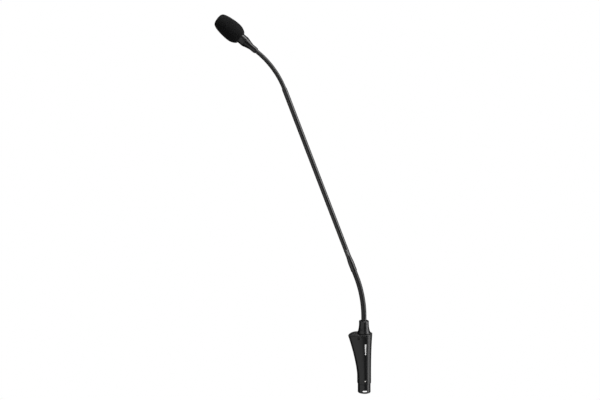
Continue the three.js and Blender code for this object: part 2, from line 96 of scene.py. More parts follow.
# ---- materials ----
class Paint:
    """A Principled material, and short ways to drive its sockets with procedural texture."""

    def __init__(self, name, colour, roughness, **constants):
        self.material = bpy.data.materials.new(name)
        self.material.use_nodes = True
        self.tree = self.material.node_tree
        self.shader = self.tree.nodes["Principled BSDF"]
        self.set("Base Color", (*colour, 1))
        self.set("Roughness", roughness)
        for socket, value in constants.items():
            self.set(socket.replace("_", " "), value)
        self.place = self.tree.nodes.new("ShaderNodeTexCoord").outputs["Object"]

    def set(self, socket, value):
        self.shader.inputs[socket].default_value = value

    def link(self, output, socket):
        self.tree.links.new(output, socket)

    def stretched(self, scale):
        mapping = self.tree.nodes.new("ShaderNodeMapping")
        mapping.inputs["Scale"].default_value = scale
        self.link(self.place, mapping.inputs["Vector"])
        return mapping.outputs["Vector"]

    def noise(self, size, detail=3.0, roughness=0.55, place=None):
        """Cloudy noise from 0 to 1 whose features are about size metres across."""
        texture = self.tree.nodes.new("ShaderNodeTexNoise")
        texture.inputs["Scale"].default_value = 1 / size
        texture.inputs["Detail"].default_value = detail
        texture.inputs["Roughness"].default_value = roughness
        self.link(place or self.place, texture.inputs["Vector"])
        return texture.outputs["Fac"]

    def cells(self, size, feature="F1"):
        texture = self.tree.nodes.new("ShaderNodeTexVoronoi")
        texture.feature = feature
        texture.inputs["Scale"].default_value = 1 / size
        self.link(self.place, texture.inputs["Vector"])
        return texture.outputs["Distance"]

    def ranged(self, value, low, high, to_low=0.0, to_high=1.0):
        """A value's stretch from low to high, mapped to another range and held there."""
        node = self.tree.nodes.new("ShaderNodeMapRange")
        node.inputs["From Min"].default_value = low
        node.inputs["From Max"].default_value = high
        node.inputs["To Min"].default_value = to_low
        node.inputs["To Max"].default_value = to_high
        self.link(value, node.inputs["Value"])
        return node.outputs["Result"]

    def mixed(self, factor, first, second):
        """A colour that goes from first to second; each is a colour or another node's output."""
        node = self.tree.nodes.new("ShaderNodeMix")
        node.data_type = "RGBA"
        self.link(factor, node.inputs["Factor"])
        for socket, colour in (("A", first), ("B", second)):
            target = next(i for i in node.inputs if i.name == socket and i.type == "RGBA")
            if isinstance(colour, tuple):
                target.default_value = (*colour, 1)
            else:
                self.link(colour, target)
        return next(o for o in node.outputs if o.type == "RGBA")

    def coloured(self, output):
        self.link(output, self.shader.inputs["Base Color"])

    def roughened(self, output):
        self.link(output, self.shader.inputs["Roughness"])

    def bumped(self, *layers):
        """Bump from (height output, depth in metres) layers, one over another."""
        normal = None
        for height, depth in layers:
            bump = self.tree.nodes.new("ShaderNodeBump")
            bump.inputs["Distance"].default_value = depth
            self.link(height, bump.inputs["Height"])
            if normal is not None:
                self.link(normal, bump.inputs["Normal"])
            normal = bump.outputs["Normal"]
        self.link(normal, self.shader.inputs["Normal"])

    def edges(self, low=0.51, high=0.58):
        """Where the surface turns over an edge, from 0 to 1."""
        geometry = self.tree.nodes.new("ShaderNodeNewGeometry")
        return self.ranged(geometry.outputs["Pointiness"], low, high)


def shade(colour, factor):
    return tuple(channel * factor for channel in colour)


def powder_coat(name, colour, roughness, grain=0.35 * MM, gloss=0.5):
    """Satin black coat on metal: a fine orange peel, cloudy gloss and faint polish along the edges."""
    paint = Paint(name, colour, roughness, Specular_IOR_Level=gloss)
    cloud = paint.noise(9 * MM, 4)
    speck = paint.noise(0.8 * MM, 2)
    tone = paint.mixed(cloud, shade(colour, 0.82), shade(colour, 1.2))
    paint.coloured(paint.mixed(paint.edges(), tone, shade(colour, 2.4)))
    paint.roughened(paint.ranged(speck, 0.3, 0.7, roughness - 0.05, roughness + 0.06))
    paint.bumped((paint.noise(grain, 2), 0.006 * MM), (paint.noise(2.2 * MM, 2), 0.012 * MM))
    return paint.material


def moulded(name, colour, roughness, grain=0.22 * MM, depth=0.012 * MM):
    """Matt moulded plastic with a spark-eroded grain."""
    paint = Paint(name, colour, roughness)
    paint.coloured(paint.mixed(paint.noise(5 * MM, 3), shade(colour, 0.85), shade(colour, 1.18)))
    paint.roughened(paint.ranged(paint.noise(0.6 * MM), 0.3, 0.7, roughness - 0.06, roughness + 0.06))
    paint.bumped((paint.cells(grain), depth))
    return paint.material


def plated(name, colour, roughness, turning=(1, 1, 60)):
    """Plated metal with fine tool marks round its axis and a faint tarnish."""
    paint = Paint(name, colour, roughness, Metallic=1.0)
    lines = paint.noise(2 * MM, 3, place=paint.stretched(turning))
    tarnish = paint.noise(1.6 * MM, 4)
    paint.coloured(paint.mixed(tarnish, shade(colour, 0.72), colour))
    paint.roughened(paint.ranged(lines, 0.3, 0.7, roughness - 0.06, roughness + 0.1))
    paint.bumped((lines, 0.004 * MM))
    return paint.material


def open_cell_foam(name, colour):
    """Reticulated foam: pores darkened with painted shade, between thin struts lightened with painted light."""
    paint = Paint(name, colour, 0.97, Sheen_Weight=0.02, Sheen_Roughness=0.6, Specular_IOR_Level=0.1,
                  Diffuse_Roughness=1.0)
    pores = paint.ranged(paint.cells(0.42 * MM), 0.15, 0.6)
    fine = paint.noise(0.16 * MM, 2)
    # painted shade darkens the pores and painted light lightens the struts, in the foam's colour
    pore_shade_and_strut_light = paint.mixed(pores, shade(colour, 0.25), shade(colour, 2.0))
    paint.coloured(paint.mixed(paint.noise(6 * MM, 3), shade(colour, 0.7), pore_shade_and_strut_light))
    paint.bumped((pores, 0.12 * MM), (fine, 0.03 * MM))
    return paint.material


def wound_wire(name, colour, roughness):
    """The flexible tube's black wire: painted shade darkens the grooves and painted light lightens the crests.
    """
    paint = Paint(name, colour, roughness)
    # painted shade in the grooves and painted light on the crests, from the surface's pointiness
    paint.coloured(paint.mixed(paint.edges(0.49, 0.56), shade(colour, 0.6), shade(colour, 1.5)))
    paint.roughened(paint.ranged(paint.noise(0.9 * MM, 3), 0.3, 0.7, roughness - 0.05, roughness + 0.1))
    paint.bumped((paint.noise(0.25 * MM, 2), 0.006 * MM))
    return paint.material


def circuit_board(name):
    """Green solder resist over faint traces."""
    resist = (0.012, 0.12, 0.05)
    paint = Paint(name, resist, 0.35)
    traces = paint.ranged(paint.cells(1.7 * MM, "DISTANCE_TO_EDGE"), 0.04, 0.07)
    paint.coloured(paint.mixed(traces, (0.03, 0.2, 0.09), resist))
    paint.bumped((traces, -0.03 * MM))
    return paint.material


def printed(name, colour):
    """Screen-printed ink, slightly uneven."""
    paint = Paint(name, colour, 0.55)
    paint.coloured(paint.mixed(paint.noise(0.7 * MM, 4), shade(colour, 0.88), colour))
    paint.bumped((paint.noise(0.2 * MM, 2), 0.004 * MM))
    return paint.material


def lens_plastic(name):
    paint = Paint(name, (0.06, 0.003, 0.003), 0.12, Coat_Weight=0.5, Coat_Roughness=0.05)
    paint.coloured(paint.mixed(paint.noise(0.8 * MM, 2), (0.045, 0.002, 0.002), (0.08, 0.004, 0.004)))
    return paint.material


def rubber(name, colour):
    paint = Paint(name, colour, 0.62)
    paint.coloured(paint.mixed(paint.noise(3 * MM, 3), shade(colour, 0.8), shade(colour, 1.2)))
    paint.bumped((paint.noise(0.3 * MM, 3), 0.01 * MM))
    return paint.material


BLACK = (0.0075, 0.0075, 0.0078)
COAT = powder_coat("housing_coat", BLACK, 0.3)
TUBE_COAT = powder_coat("tube_coat", BLACK, 0.25, 0.5 * MM, 0.68)
COLLAR_COAT = powder_coat("collar_coat", BLACK, 0.28, 0.35 * MM, 0.56)
HEAD_COAT = powder_coat("head_coat", BLACK, 0.27, 0.3 * MM)
PLUG_COAT = powder_coat("plug_coat", BLACK, 0.28, 0.25 * MM)
BUTTON_PLASTIC = moulded("button_plastic", (0.011, 0.011, 0.0115), 0.5)
PLASTIC = moulded("black_plastic", (0.012, 0.012, 0.0125), 0.45)
PALE_PLASTIC = moulded("pale_plastic", (0.55, 0.55, 0.52), 0.45)
WIRE = wound_wire("gooseneck_wire", (0.008, 0.008, 0.0083), 0.34)
FOAM = open_cell_foam("windscreen_foam", (0.0075, 0.0075, 0.0078))
OXIDE = plated("black_oxide", (0.006, 0.006, 0.006), 0.5)
NICKEL = plated("nickel_plate", (0.62, 0.6, 0.57), 0.28)
GOLD = plated("gold_plate", (0.85, 0.6, 0.24), 0.24)
BRASS = plated("turned_brass", (0.62, 0.45, 0.2), 0.3)
BOARD = circuit_board("solder_resist")
WHITE_INK = printed("white_ink", (0.9, 0.9, 0.89))
GREY_INK = printed("grey_ink", (0.14, 0.14, 0.14))
LENS = lens_plastic("red_lens")
JACKET = rubber("cable_jacket", (0.02, 0.02, 0.02))


# ---- meshes ----
def crease(mesh, degrees=32):
    """Smooth faces, with sharp edges where they meet at more than some angle."""
    form = bmesh.new()
    form.from_mesh(mesh)
    bmesh.ops.remove_doubles(form, verts=form.verts, dist=1e-7)
    bmesh.ops.recalc_face_normals(form, faces=form.faces)
    for face in form.faces:
        face.smooth = True
    for edge in form.edges:
        edge.smooth = edge.calc_face_angle(0) < math.radians(degrees)
    form.to_mesh(mesh)
    form.free()


def linked(name, data):
    """A new object in the scene that shows a mesh, a lamp or a camera."""
    made = bpy.data.objects.new(name, data)
    bpy.context.scene.collection.objects.link(made)
    return made


def piece(name, vertices, faces, material, at=Matrix.Identity(4)):
    """A mesh object from vertices in metres, placed by a matrix that goes into its mesh."""
    mesh = bpy.data.meshes.new(name)
    mesh.from_pydata([tuple(vertex) for vertex in vertices], [], faces)
    mesh.transform(at)
    crease(mesh)
    mesh.materials.append(material)
    return linked(name, mesh)


def settled(made, degrees=32):
    """Applies a piece's modifiers to its mesh."""
    bpy.context.view_layer.update()
    graph = bpy.context.evaluated_depsgraph_get()
    mesh = bpy.data.meshes.new_from_object(made.evaluated_get(graph))
    made.modifiers.clear()
    made.data = mesh
    crease(mesh, degrees)
    return made


def carved(made, *tools):
    """Cuts tools out of a piece and removes them."""
    for tool in tools:
        modifier = made.modifiers.new(tool.name, "BOOLEAN")
        modifier.operation = "DIFFERENCE"
        modifier.solver = "EXACT"
        modifier.object = tool
    settled(made)
    for tool in tools:
        bpy.data.objects.remove(tool)
    return made


def joined(name, pieces, material):
    """One object from several, which are removed."""
    form = bmesh.new()
    for part in pieces:
        form.from_mesh(part.data)
        bpy.data.objects.remove(part)
    mesh = bpy.data.meshes.new(name)
    form.to_mesh(mesh)
    form.free()
    mesh.materials.append(material)
    return linked(name, mesh)


def belongs(made, body, slot, *nodes):
    """A piece rides on a body and stands for CAD nodes, which it hides. The slot is not used."""
    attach(made, body)
    if nodes:
        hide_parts(*nodes)
    return made


def rounded(outline, steps=5):
    """A closed outline of (radius, height, rounding) points in mm with its corners rounded, in metres."""
    points = [Vector(point[:2]) for point in outline]
    result = []
    for i, corner in enumerate(points):
        rounding = outline[i][2] if len(outline[i]) > 2 else 0
        before = points[i - 1] - corner
        after = points[(i + 1) % len(points)] - corner
        if rounding <= 0 or before.length < 1e-6 or after.length < 1e-6:
            result.append(corner * MM)
            continue
        half = before.angle(after) / 2
        setback = min(rounding / math.tan(half), 0.48 * before.length, 0.48 * after.length)
        start = corner + before.normalized() * setback
        end = corner + after.normalized() * setback
        for k in range(steps + 1):
            t = k / steps
            result.append(((1 - t) ** 2 * start + 2 * t * (1 - t) * corner + t**2 * end) * MM)
    return [(point.x, point.y) for point in result]


def ring_faces(rings, around, closed=False):
    """The faces between rings of vertices in turn, and from the last to the first where it is closed."""
    faces = []
    for i in range(rings if closed else rings - 1):
        j = (i + 1) % rings
        for k in range(around):
            m = (k + 1) % around
            faces.append([i * around + k, i * around + m, j * around + m, j * around + k])
    return faces


def lathe(name, outline, material, at=Matrix.Identity(4), segments=96, steps=5):
    """A turned piece about Z from a closed outline of (radius, height, rounding) points in mm."""
    section = rounded(outline, steps)
    vertices = []
    for radius, height in section:
        for k in range(segments):
            angle = 2 * math.pi * k / segments
            vertices.append((radius * math.cos(angle), radius * math.sin(angle), height))
    faces = []
    for i in range(len(section)):
        j = (i + 1) % len(section)
        if section[i][0] < 1e-9 and section[j][0] < 1e-9:
            continue
        for k in range(segments):
            m = (k + 1) % segments
            corners = [i * segments + k, i * segments + m, j * segments + m, j * segments + k]
            if section[i][0] < 1e-9:
                corners.pop(1)
            elif section[j][0] < 1e-9:
                corners.pop(2)
            faces.append(corners)
    return piece(name, vertices, faces, material, at)


def extruded(name, outline, low, high, material, at=Matrix.Identity(4)):
    """A prism over an outline of (x, y) points, in mm."""
    count = len(outline)
    vertices = [(x * MM, y * MM, z * MM) for z in (low, high) for x, y in outline]
    faces = [[k, (k + 1) % count, (k + 1) % count + count, k + count] for k in range(count)]
    faces += [list(range(count))[::-1], list(range(count, 2 * count))]
    return piece(name, vertices, faces, material, at)


def stadium(x0, x1, radius, steps=12):
    """A slot's outline with round ends centred at x0 and x1."""
    ends = [(x1, -90), (x0, 90)]
    return [
        (x + radius * math.cos(math.radians(a + 180 * k / steps)),
         radius * math.sin(math.radians(a + 180 * k / steps)))
        for x, a in ends for k in range(steps + 1)
    ]


def polygon(radius, sides, turn=0.0):
    return [
        (radius * math.cos(turn + 2 * math.pi * k / sides), radius * math.sin(turn + 2 * math.pi * k / sides))
        for k in range(sides)
    ]


def facing_front(height, depth=0.0):
    """A matrix that turns a piece modelled along +Z to point at -Y, at a height in mm."""
    return Matrix.Translation((0, -depth * MM, height * MM)) @ Matrix.Rotation(math.pi / 2, 4, "X")


def bevelled(made, width, segments=2, degrees=40):
    """Gives a piece a bevel of a width in mm along its sharp edges."""
    bevel = made.modifiers.new("bevel", "BEVEL")
    bevel.width = width * MM
    bevel.segments = segments
    bevel.limit_method = "ANGLE"
    bevel.angle_limit = math.radians(degrees)
    return made


# ---- plug ----
PLUG = {"radius": 9.5, "bore": 8.1, "neck": 8.75, "step": 13.8, "top": 24.3, "face": 14.2,
        "ledge": 20.1, "neck_bore": 7.4}
WINDOW = {"width": 6.7, "height": 2.4, "z": 3.45}
SCREW = {"radius": 1.5, "z": 18.7, "outer": 10.15}


def plug_shell():
    r, bore = PLUG["radius"], PLUG["bore"]
    shell = lathe("xlr_shell_skin", [
        (bore, 0, 0.35), (r, 0, 0.5), (r, PLUG["step"], 0.12), (PLUG["neck"], PLUG["step"]),
        (PLUG["neck"], PLUG["top"], 0.2), (PLUG["neck_bore"], PLUG["top"], 0.2),
        (PLUG["neck_bore"], PLUG["ledge"]), (bore, PLUG["ledge"]),
    ], PLUG_COAT, segments=128)
    end = WINDOW["height"] / 2
    half = WINDOW["width"] / 2 - end
    window = extruded("window_tool", stadium(-half, half, end), 6, 11, PLUG_COAT, facing_front(WINDOW["z"]))
    keyway = extruded("keyway_tool", [(-1.1, 7), (1.1, 7), (1.1, 8.8), (-1.1, 8.8)], -1, 13.5, PLUG_COAT)
    hole = extruded("hole_tool", polygon(SCREW["radius"] + 0.2, 32), 7, 11, PLUG_COAT, facing_front(SCREW["z"]))
    carved(shell, window, keyway, hole)
    belongs(settled(bevelled(shell, 0.12)), "base", "black_metal", "xlr_shell")


def plug_inside():
    pin_circle = 4.4
    places = [(pin_circle * math.cos(math.radians(a)), pin_circle * math.sin(math.radians(a)))
              for a in (-150, -30, 90)]
    radius = PLUG["bore"] - 0.3
    low = PLUG["face"]
    body = lathe("xlr_insulator_body", [
        (0, low), (radius - 1.2, low, 0.1), (radius - 1.2, low + 0.35, 0.1), (radius, low + 0.35, 0.2),
        (radius, 19.8, 0.3), (0, 19.8),
    ], PLASTIC)
    tools = [extruded(f"bore_{i}", [(x + u, y + v) for u, v in polygon(1.36, 24)], low - 1, 21, PLASTIC)
             for i, (x, y) in enumerate(places)]
    belongs(settled(bevelled(carved(body, *tools), 0.1)), "base", "black_plastic", "xlr_insulator")
    for i, (x, y) in enumerate(places):
        contact = lathe(f"xlr_pin_{i + 1}_contact", [
            (0, 2), (1.2, 2, 1.15), (1.2, 25.8, 0.1), (0.75, 25.8, 0.05), (0.75, 22.8), (0, 22.8),
        ], GOLD, Matrix.Translation((x * MM, y * MM, 0)), 32, 8)
        belongs(contact, "base", "gold_plate", f"xlr_pin_{i + 1}")


def set_screw():
    inner_end = 8.05  # its distance from the plug's axis
    length, radius = SCREW["outer"] - inner_end, SCREW["radius"]
    top = length + 0.1
    crown = [(radius * math.sin(a), top - 1.6 * (1 - math.cos(a)))
             for a in (math.radians(36 - 6 * k) for k in range(6))]
    screw = lathe("xlr_set_screw_body", [
        (0, 0), (radius, 0, 0.1), (radius, length - 0.5, 0.2), *crown, (0, top),
    ], NICKEL, facing_front(SCREW["z"], inner_end), 40)
    socket = extruded("socket_tool", polygon(0.55, 6), length - 0.7, length + 1, NICKEL,
                      facing_front(SCREW["z"], inner_end))
    belongs(carved(screw, socket), "base", "bright_steel", "xlr_set_screw")


# ---- housing ----
HOUSING = {"bottom": 14.1, "radius": 10.3, "wall": 1.3, "flare": 2.1, "wing_start": 25.6}
WING = {"z": 85.1, "reach": 12.85, "power": 1.45}
ROOF = {"z": 89.0, "droop": 3.0, "from": -11.9, "length": 11.0, "cover": 1.7}
SEAM = 0.15  # between the housing and its cover
BUTTON = {"x": -16.2, "length": 3.2, "radius": 2.9, "crown": 0.5}
LED = {"x": -10.5, "radius": 0.6}
COVER_SCREW = {"x": -8.5, "z": 83.3, "head": 0.95, "shank": 0.55}
COLLAR = {"bore": 4.1, "spigot": 5.4, "foot": 78.2, "bottom": 89.3, "waist": 104.9, "top": 107.9,
          "base": 9.65, "rim": 7.2}


def slice_at(z):
    """The housing's egg-shaped section: its half-thickness, and its reach towards -X."""
    height = max(z - HOUSING["bottom"], 0) / (ROOF["z"] - HOUSING["bottom"])
    radius = HOUSING["radius"] + HOUSING["flare"] * height**2.8
    rise = max(z - HOUSING["wing_start"], 0) / (WING["z"] - HOUSING["wing_start"])
    return radius, max(HOUSING["radius"] + WING["reach"] * rise ** WING["power"], radius)


def outline_at(z, inset, share):
    """A point round the section and the point of its spine that it faces; share runs from -1 to 1."""
    radius, reach = slice_at(z)
    angle = math.pi * share
    length = reach if math.cos(angle) < 0 else radius
    normal = Vector((math.cos(angle) / length, math.sin(angle) / radius)).normalized()
    spine = min(math.cos(angle), 0) * (reach - radius**2 / reach)
    return (length * math.cos(angle) - inset * normal.x, radius * math.sin(angle) - inset * normal.y, spine)


def front_at(x, z):
    """The distance of the section's outline from the XZ plane at a place along X."""
    radius, reach = slice_at(z)
    return radius * math.sqrt(1 - (x / (reach if x < 0 else radius)) ** 2)


def roof_at(x):
    past = max(ROOF["from"] - x, 0) / ROOF["length"]
    return ROOF["z"] - ROOF["droop"] * past**2


def roof_height(share, inset, drop):
    """The roof's height over a point of the section, lowered by a drop."""
    z = ROOF["z"]
    for _ in range(4):
        z = roof_at(outline_at(z, inset, share)[0]) - drop
    return z


AROUND = 168


def swept(name, path, material):
    """A closed sweep round the housing: path points are (inset, share of the height, offset, pull), where
    pull draws the point to the section's spine."""
    vertices = []
    for inset, level, offset, pull in path:
        for k in range(AROUND):
            share = 2 * k / AROUND - 1
            top = roof_height(share, inset, ROOF["cover"] + SEAM)
            z = HOUSING["bottom"] + level * (top - HOUSING["bottom"]) + offset
            x, y, spine = outline_at(z, inset, share)
            x += (spine - x) * pull
            y -= y * pull
            if level == 1 and pull > 0:
                z = roof_at(x) - ROOF["cover"] - SEAM + offset
            vertices.append((x * MM, y * MM, z * MM))
    return piece(name, vertices, ring_faces(len(path), AROUND, closed=True), material)


def quarter(radius, centre_inset, centre_offset, start, end, steps=5):
    """Points of a rounding in a sweep's (inset, offset) plane, angles from outwards towards up."""
    return [
        (centre_inset - radius * math.cos(a), centre_offset + radius * math.sin(a))
        for a in (math.radians(start + (end - start) * k / steps) for k in range(steps + 1))
    ]


def screw_line(side):
    """A matrix at a cover screw's place on a flank, with +Z pointing out of it."""
    radius, reach = slice_at(COVER_SCREW["z"])
    y = side * front_at(COVER_SCREW["x"], COVER_SCREW["z"])
    normal = Vector((COVER_SCREW["x"] / reach**2, y / radius**2, 0)).normalized()
    place = Vector((COVER_SCREW["x"], y, COVER_SCREW["z"])) * MM
    return Matrix.Translation(place) @ normal.to_track_quat("Z", "Y").to_matrix().to_4x4()


def housing():
    wall, ledge = HOUSING["wall"], 27.5 - HOUSING["bottom"]
    shoulder = 10.5  # over the bottom, where the plug's neck ends
    socket, throat = HOUSING["radius"] - PLUG["neck"] - 0.3, 2.9
    foot = [(inset, 0, offset, 0) for inset, offset in quarter(0.45, 0.45, 0.45, -90, 0)]
    sides = [(0, level / 24, 0.45 * (1 - level / 24) - 0.2 * level / 24, 0) for level in range(1, 24)]
    lip = [(inset, 1, offset, 0) for inset, offset in quarter(0.2, 0.2, -0.2, 0, 90, 3)]
    inner = [(wall, 1, 0, 0), (wall, 0.75, 0, 0), (wall, 0.5, 0, 0), (wall, 0.3, 0, 0)]
    inner += [(wall, 0, ledge, 0), (throat, 0, ledge, 0), (throat, 0, shoulder, 0), (socket, 0, shoulder, 0)]
    shell = swept("preamp_housing_skin", [(socket, 0, 0, 0), *foot, *sides, *lip, *inner], COAT)
    hole = extruded("hole_tool", polygon(SCREW["radius"] + 0.2, 40), 8.5, 12, COAT, facing_front(SCREW["z"]))
    dish = [(0, -2.4), (1.1, -2.4), (1.1, -0.42), (1.9, -0.3, 0.6), (3.1, 0.06), (3.1, 1), (0, 1)]
    dishes = [lathe(f"dish_{side}", dish, COAT, screw_line(side), 48) for side in (-1, 1)]
    belongs(carved(shell, hole, *dishes), "base", "black_metal", "preamp_housing")


def cover():
    """The lid: a rounded rim over the housing's seam, and a crowned top that closes on the spine."""
    cover_height = ROOF["cover"] + SEAM
    edge = 0.6
    rim = [(inset, 1, cover_height + offset, 0) for inset, offset in quarter(edge, edge, -edge, 0, 90, 7)]
    crown = [(edge, 1, cover_height + 0.12 * (1 - (1 - t) ** 2), t) for t in (0.1, 0.25, 0.45, 0.7, 1)]
    below = [(1.2, 1, SEAM, t) for t in (1, 0.7, 0.45, 0.25, 0)]
    foot = [(inset, 1, offset, 0) for inset, offset in quarter(0.15, 0.15, SEAM + 0.15, -90, 0, 3)]
    lid = swept("top_cover_skin", [*foot, *rim, *crown, *below], COAT)
    x, length, radius = BUTTON["x"], BUTTON["length"], BUTTON["radius"]
    openings = {
        "button_tool": stadium(x - length / 2, x + length / 2, radius + 0.3, 16),
        "lens_tool": [(LED["x"] + u, v) for u, v in polygon(LED["radius"] + 0.15, 24)],
        "collar_tool": polygon(COLLAR["spigot"] + 0.3, 64),
    }
    tools = [extruded(name, outline, 78, 95, COAT) for name, outline in openings.items()]
    belongs(carved(lid, *tools), "base", "black_metal", "top_cover")


def cover_screw(side, name):
    head = COVER_SCREW["head"]
    screw = lathe(f"{name}_body", [
        (0, -0.55), (head, -0.5, 0.25), (head, -1.15, 0.05), (COVER_SCREW["shank"], -1.15),
        (COVER_SCREW["shank"], -3.3, 0.1), (0, -3.3),
    ], OXIDE, screw_line(side), 40)
    socket = extruded("socket_tool", polygon(0.62, 6), -1.0, 0, OXIDE, screw_line(side))
    belongs(carved(screw, socket), "base", "black_metal", name)


def button():
    """The mute button: a crowned key with a dished top and three ribs, on a flange under the cover."""
    x, length = BUTTON["x"], BUTTON["length"]
    top = roof_at(x) + BUTTON["crown"]
    flange, flange_low, flange_high = BUTTON["radius"] + 0.3, 83.7, 84.7
    rings = [(flange, flange_low), (flange, flange_high), (BUTTON["radius"], flange_high)]
    slope = (roof_at(x + length / 2) - roof_at(x - length / 2)) / length
    edge = 0.55
    for k in range(7):
        angle = math.pi / 2 * k / 6
        rings.append((BUTTON["radius"] - edge * (1 - math.cos(angle)), top - edge * (1 - math.sin(angle))))
    rings += [(BUTTON["radius"] - 0.9, top - 0.03), (1.3, top - 0.22), (0.5, top - 0.28), (0, top - 0.28)]
    count = 56
    vertices = []
    for radius, z in rings:
        for px, py in stadium(x - length / 2, x + length / 2, max(radius, 1e-4), count // 2 - 1):
            lean = slope * (px - x) if z > flange_high else 0
            vertices.append((px * MM, py * MM, (z + lean) * MM))
    faces = [*ring_faces(len(rings), count), list(range(count))[::-1]]
    key = piece("mute_button_key", vertices, faces, BUTTON_PLASTIC)
    stalk_low, stalk_high = 81.4, flange_low + 0.1
    stalk = lathe("stalk", [(0, stalk_low), (1.6, stalk_low, 0.2), (1.6, stalk_high), (0, stalk_high)],
                  BUTTON_PLASTIC, Matrix.Translation((x * MM, 0, 0)), 32)
    key = joined("mute_button_key", [key, stalk], BUTTON_PLASTIC)
    belongs(key, "mute_button", "black_plastic", "mute_button")
    thickness, reach, spacing = 0.22, 1.5, 0.9
    for i in (-1, 0, 1):
        place = Vector((x + spacing * i, 0, top - thickness + slope * spacing * i)) * MM
        rib = lathe(f"mute_button_rib_{i + 2}", [
            (0, -reach), (thickness, -reach, 0.2), (thickness, reach, 0.2), (0, reach),
        ], BUTTON_PLASTIC, Matrix.Translation(place) @ Matrix.Rotation(math.pi / 2, 4, "X"), 16, 4)
        belongs(rib, "mute_button", "black_plastic")


def led_lens():
    low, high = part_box("led_lens")
    bottom, top = low.z / MM, high.z / MM
    radius = LED["radius"]
    lens = lathe("led_lens_dome", [
        (0, bottom), (radius, bottom, 0.05), (radius, top + 0.15, 0.3), (0, top + 0.25),
    ], LENS, Matrix.Translation((LED["x"] * MM, 0, 0)), 32)
    belongs(lens, "base", "red_lens", "led_lens")


def mark():
    """A plain level scale in white on the front of the housing: a column of short bars."""
    low, high, centre = 59.2, 75.4, 0.95
    widths = (1.7, 1.8, 1.9, 2.0, 2.1, 2.2, 2.3)
    pitch = (high - low) / len(widths)
    bar = 0.86 * pitch

    def on_front(x, z, skin):
        return Vector((x, -(front_at(x, z) + skin), z))

    made = [
        thin_patch(f"bar_{i}", on_front, centre, width, low + i * pitch, bar, 3, 0.04, WHITE_INK)
        for i, width in enumerate(widths)
    ]
    belongs(joined("level_mark", made, WHITE_INK), "base", "black_metal")


def thin_patch(name, place, centre, width, low, height, rows, thickness, material, at=Matrix.Identity(4)):
    """A thin closed patch, in mm, let 0.02 mm into a surface; place gives the point over the surface."""
    columns = 9
    vertices = [
        place(centre + width * (c / (columns - 1) - 0.5), low + height * r / (rows - 1), skin) * MM
        for skin in (thickness, -0.02) for r in range(rows) for c in range(columns)
    ]
    return piece(name, vertices, shell_faces(rows, columns), material, at)


def shell_faces(rows, columns):
    """The faces of a thin closed patch whose outer grid of vertices comes before its inner one."""
    count = rows * columns
    quads = [
        [r * columns + c, r * columns + c + 1, (r + 1) * columns + c + 1, (r + 1) * columns + c]
        for r in range(rows - 1) for c in range(columns - 1)
    ]
    faces = quads + [[i + count for i in reversed(quad)] for quad in quads]
    border = list(range(columns)) + [r * columns + columns - 1 for r in range(1, rows)]
    border += [count - 1 - c for c in range(1, columns)] + [r * columns for r in range(rows - 2, 0, -1)]
    for k, first in enumerate(border):
        second = border[(k + 1) % len(border)]
        faces.append([second, first, first + count, second + count])
    return faces


# ---- neck ----
def collar():
    """The boss that the neck comes out of, with a spigot down through the cover."""
    bore, spigot, foot = COLLAR["bore"], COLLAR["spigot"], COLLAR["foot"]
    bottom, waist, top = COLLAR["bottom"], COLLAR["waist"], COLLAR["top"]
    base, rim = COLLAR["base"], COLLAR["rim"]
    flare = []
    for i in range(13):
        share = 1 - i / 12
        flare.append((rim + (base - rim) * share**2.4, waist - (waist - bottom - 1) * share))
    boss = lathe("gooseneck_collar_boss", [
        (bore, foot, 0.1), (spigot, foot, 0.2), (spigot, bottom), (base, bottom, 0.15), *flare,
        (rim, top, 1.0), (bore + 0.3, top, 0.25), (bore, top - 0.4),
    ], COLLAR_COAT, segments=128)
    belongs(boss, "base", "black_metal", "gooseneck_collar")


class Section:
    """A flexible section's centre line: straight, then an arc, then straight again."""

    def __init__(self, name, start_tilt, end_tilt):
        self.start_tilt, self.end_tilt = start_tilt, end_tilt
        first, second = pivot(f"{name}_bend_1"), pivot(f"{name}_sway_1")
        self.step = (second - first).length
        self.radius = self.step / math.tan((end_tilt - start_tilt) / 8)
        self.start = first - heading(start_tilt) * self.step
        self.length = self.radius * (end_tilt - start_tilt)
        self.spacing = self.length / 8

    def at(self, s):
        """The point and the tilt of the centre line, s metres past the start of its arc."""
        turned = min(max(s / self.radius, 0), self.end_tilt - self.start_tilt)
        first, last = heading(self.start_tilt), heading(self.start_tilt + turned)
        side = Vector((-math.cos(self.start_tilt), 0, -math.sin(self.start_tilt)))
        point = self.start + self.radius * (math.sin(turned) * first + (1 - math.cos(turned)) * side)
        return point + last * (s - turned * self.radius), self.start_tilt + turned


LOWER = Section("lower", 0.0, STEM_TILT)
UPPER = Section("upper", STEM_TILT, HEAD_TILT)


def wound(radius, pitch, depth):
    """The surface of a close-wound wire: its radius at a place along and round a section."""
    def surface(s, angle):
        phase = (s / pitch - angle / (2 * math.pi)) % 1
        return radius - depth * (1 - math.sin(math.pi * phase) ** 0.6)
    return surface


def sleeve(name, section, surface, s0, s1, rows, around, material):
    """A tube's skin along a section between two places, with normals that carry on into its neighbours."""
    vertices, normals = [], []
    tiny = 0.02 * MM

    def point(s, angle):
        centre, tilt = section.at(s)
        side = Vector((math.cos(tilt), 0, math.sin(tilt)))
        return centre + surface(s, angle) * (math.cos(angle) * side + math.sin(angle) * Vector((0, 1, 0)))

    for r in range(rows + 1):
        s = s0 + (s1 - s0) * r / rows
        for k in range(around):
            angle = 2 * math.pi * k / around
            here = point(s, angle)
            along = point(s + tiny, angle) - point(s - tiny, angle)
            across = point(s, angle + 0.01) - point(s, angle - 0.01)
            vertices.append(here)
            normals.append(across.cross(along).normalized())
    mesh = bpy.data.meshes.new(name)
    mesh.from_pydata([tuple(vertex) for vertex in vertices], [], ring_faces(rows + 1, around))
    mesh.polygons.foreach_set("use_smooth", [True] * len(mesh.polygons))
    mesh.normals_split_custom_set_from_vertices([tuple(normal) for normal in normals])
    mesh.materials.append(material)
    return linked(name, mesh)


